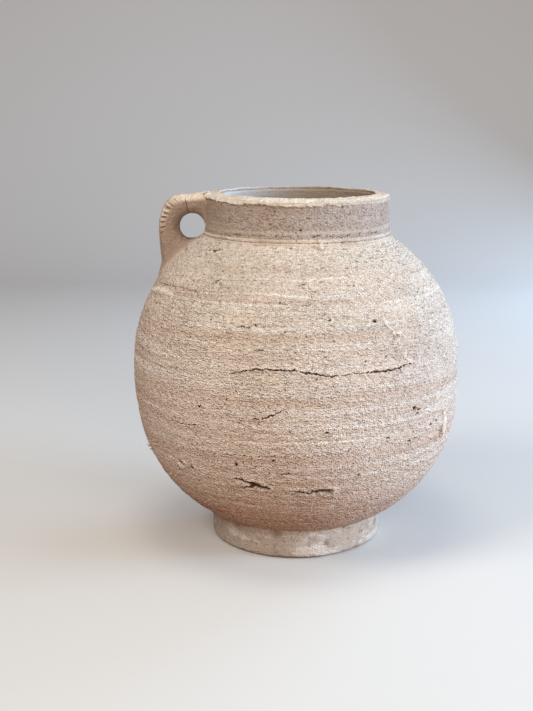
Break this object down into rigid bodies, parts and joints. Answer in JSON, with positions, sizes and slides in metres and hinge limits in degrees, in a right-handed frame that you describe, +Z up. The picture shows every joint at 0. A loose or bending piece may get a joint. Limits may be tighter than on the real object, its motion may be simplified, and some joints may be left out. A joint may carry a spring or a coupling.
{
  "type": "jug vase",
  "caption": "Round unglazed clay jug vase with a turned foot ring, a short neck with a flattened lip and a small finger-loop handle between lip and shoulder.",
  "frame": {"origin": "centre of the foot ring's underside, where the vase stands", "axes": "+Z up along the turning axis, the handle at -X, -Y towards the viewer of the picture"},
  "size_m": [0.2004, 0.2004, 0.216],
  "materials": {
    "fired_clay": "coarse unglazed earthenware",
    "scraped_clay": "scraped unglazed earthenware",
    "pale_clay": "pale unglazed earthenware",
    "smoothed_clay": "finger-smoothed unglazed earthenware",
    "dried_slip": "dull fired slip"
  },
  "bodies": {
    "root": {"foot_ring": "scraped_clay", "foot_slip": "dried_slip", "lower_bowl": "fired_clay", "belly_slip": "dried_slip", "shoulder_dome": "fired_clay", "neck_slip": "dried_slip", "neck_collar": "fired_clay", "rim_slip": "dried_slip", "rim_coil": "pale_clay", "handle_lug": "smoothed_clay", "handle_bow": "smoothed_clay", "handle_pad": "smoothed_clay"}
  },
  "joints": []
}
